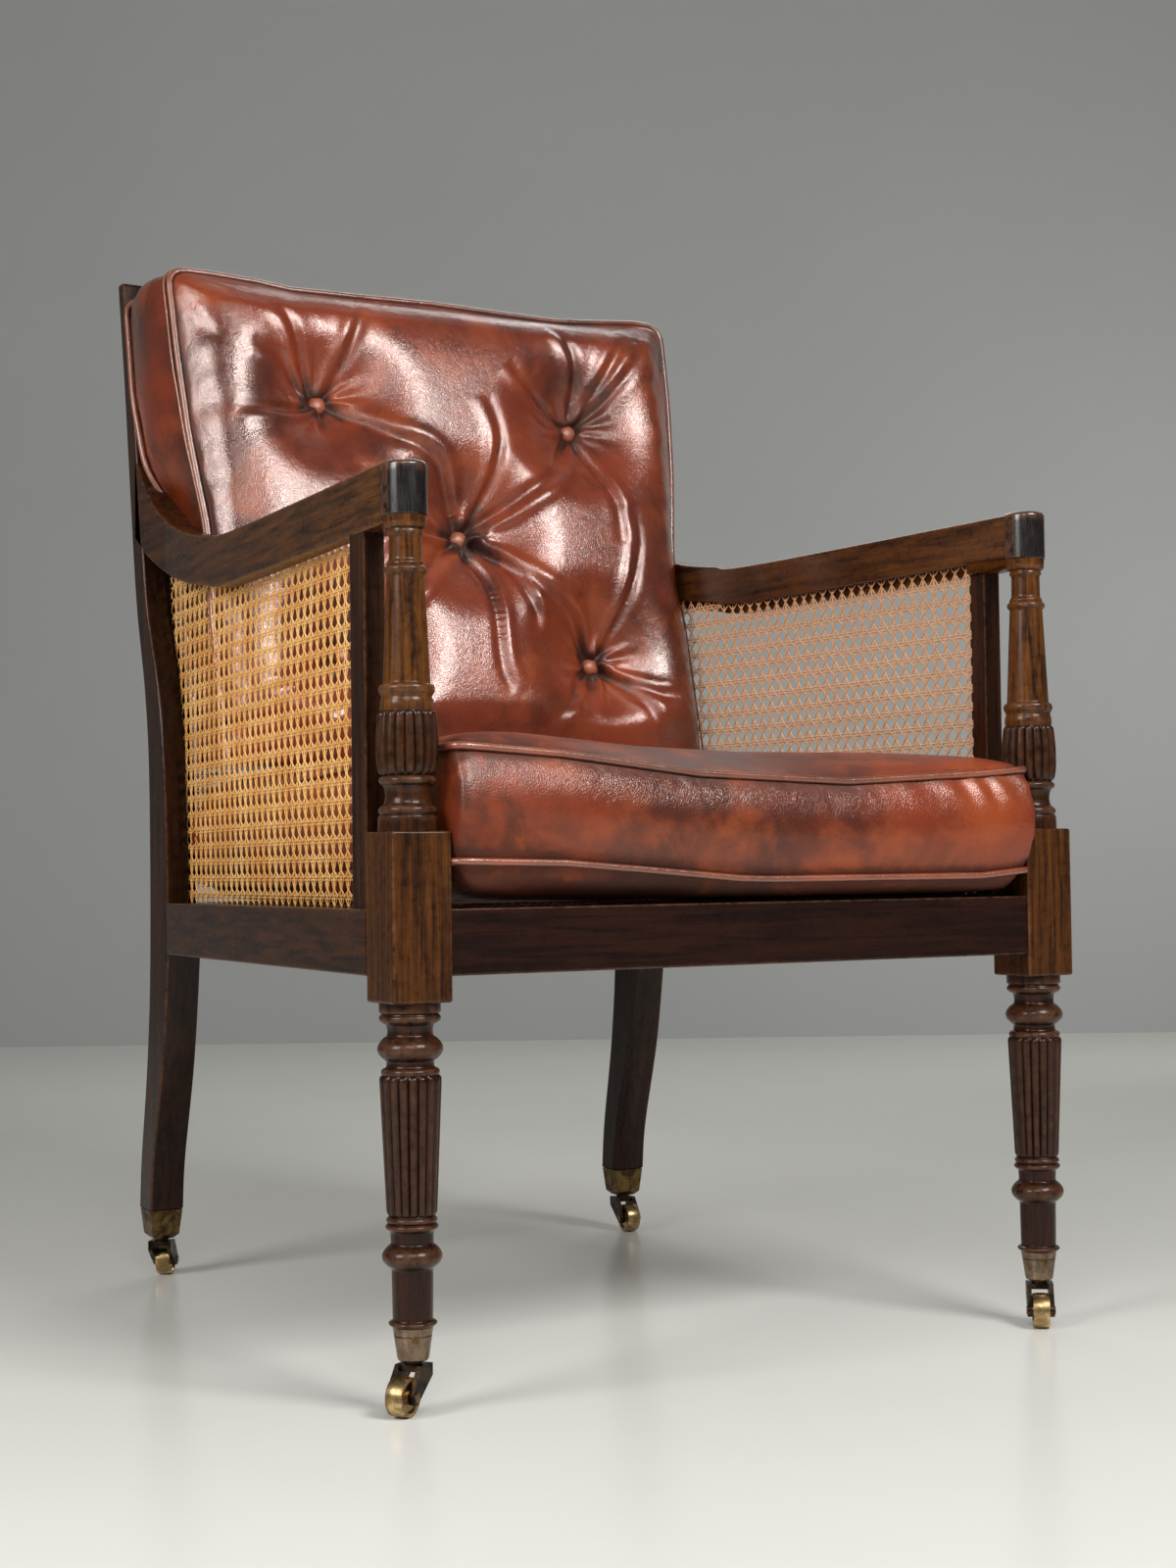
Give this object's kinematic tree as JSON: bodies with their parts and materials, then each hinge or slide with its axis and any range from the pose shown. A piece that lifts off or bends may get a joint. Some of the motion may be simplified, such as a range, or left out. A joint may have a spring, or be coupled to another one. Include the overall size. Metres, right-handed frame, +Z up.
{
  "type": "library bergere chair",
  "caption": "Caned armchair with loose leather seat and back cushions, reeded front legs, scrolled arms and brass swivel casters.",
  "frame": {"origin": "on the floor under the middle of the chair", "axes": "+Z up, the sitter faces -Y, +X to the right of someone who looks at the chair's front"},
  "size_m": [0.6207, 0.7227, 0.958],
  "materials": {
    "mahogany": "dark red-brown French polish, rubbed amber on the high spots",
    "ebonised_wood": "near-black gloss, rubbed amber at the sides",
    "cane": "aged golden woven cane",
    "cushion_leather": "waxed chestnut hide with dark mottling",
    "trim_leather": "darker waxed hide",
    "bronze_cups": "aged bronze brown",
    "brass_cups": "dark aged brass",
    "bronze_horns": "dark aged bronze",
    "polished_brass": "worn bright brass",
    "small_brass": "aged brass"
  },
  "bodies": {
    "frame": {"arm_left": "mahogany", "arm_right": "mahogany", "arm_terminal_left": "ebonised_wood", "arm_terminal_right": "ebonised_wood", "back_post_left": "mahogany", "back_post_right": "mahogany", "back_seat_rail": "mahogany", "cane_back": "cane", "cane_seat": "cane", "cane_side_left": "cane", "cane_side_right": "cane", "caster_cup_back_left": "brass_cups", "caster_cup_back_right": "brass_cups", "caster_cup_front_left": "bronze_cups", "caster_cup_front_right": "bronze_cups", "crest_rail": "mahogany", "cup_screws": "small_brass", "front_post_left": "mahogany", "front_post_right": "mahogany", "front_seat_rail": "mahogany", "lower_back_rail": "mahogany", "panel_upright_left": "mahogany", "panel_upright_right": "mahogany", "side_seat_rail_left": "mahogany", "side_seat_rail_right": "mahogany"},
    "seat_cushion": {"seat_cushion": "cushion_leather", "seat_cushion_piping": "trim_leather"},
    "back_cushion": {"back_cushion": "cushion_leather", "back_cushion_buttons": "trim_leather", "back_cushion_piping": "trim_leather"},
    "caster_swivel_front_left": {"caster_horn_front_left": "bronze_horns", "caster_axle_front_left": "small_brass"},
    "caster_wheel_front_left": {"caster_wheel_front_left": "polished_brass"},
    "caster_swivel_front_right": {"caster_horn_front_right": "bronze_horns", "caster_axle_front_right": "small_brass"},
    "caster_wheel_front_right": {"caster_wheel_front_right": "polished_brass"},
    "caster_swivel_back_left": {"caster_horn_back_left": "bronze_horns", "caster_axle_back_left": "small_brass"},
    "caster_wheel_back_left": {"caster_wheel_back_left": "polished_brass"},
    "caster_swivel_back_right": {"caster_horn_back_right": "bronze_horns", "caster_axle_back_right": "small_brass"},
    "caster_wheel_back_right": {"caster_wheel_back_right": "polished_brass"}
  },
  "joints": [
    {"name": "swivel_front_left", "type": "hinge", "parent": "frame", "child": "caster_swivel_front_left", "pos_m": [-0.285, -0.33, 0.0345], "axis": [0, 0, 1], "continuous": true},
    {"name": "wheel_roll_front_left", "type": "hinge", "parent": "caster_swivel_front_left", "child": "caster_wheel_front_left", "pos_m": [-0.29732, -0.33856, 0.0142], "axis": [-0.5707, 0.8211, 0], "continuous": true},
    {"name": "swivel_front_right", "type": "hinge", "parent": "frame", "child": "caster_swivel_front_right", "pos_m": [0.285, -0.33, 0.0345], "axis": [0, 0, 1], "continuous": true},
    {"name": "wheel_roll_front_right", "type": "hinge", "parent": "caster_swivel_front_right", "child": "caster_wheel_front_right", "pos_m": [0.27599, -0.34199, 0.0142], "axis": [-0.7997, 0.6004, 0], "continuous": true},
    {"name": "swivel_back_left", "type": "hinge", "parent": "frame", "child": "caster_swivel_back_left", "pos_m": [-0.25305, 0.295, 0.0345], "axis": [0, 0, 1], "continuous": true},
    {"name": "wheel_roll_back_left", "type": "hinge", "parent": "caster_swivel_back_left", "child": "caster_wheel_back_left", "pos_m": [-0.24477, 0.30751, 0.0142], "axis": [0.8339, -0.5519, 0], "continuous": true},
    {"name": "swivel_back_right", "type": "hinge", "parent": "frame", "child": "caster_swivel_back_right", "pos_m": [0.25305, 0.295, 0.0345], "axis": [0, 0, 1], "continuous": true},
    {"name": "wheel_roll_back_right", "type": "hinge", "parent": "caster_swivel_back_right", "child": "caster_wheel_back_right", "pos_m": [0.25156, 0.28007, 0.0142], "axis": [-0.9951, 0.0993, 0], "continuous": true},
    {"name": "seat_cushion_lift", "type": "slide", "parent": "frame", "child": "seat_cushion", "axis": [0, 0, 1], "range_m": [0, 0.33]},
    {"name": "back_cushion_slide", "type": "slide", "parent": "seat_cushion", "child": "back_cushion", "axis": [0, 0.23, 0.9732], "range_m": [0, 0.5]}
  ]
}
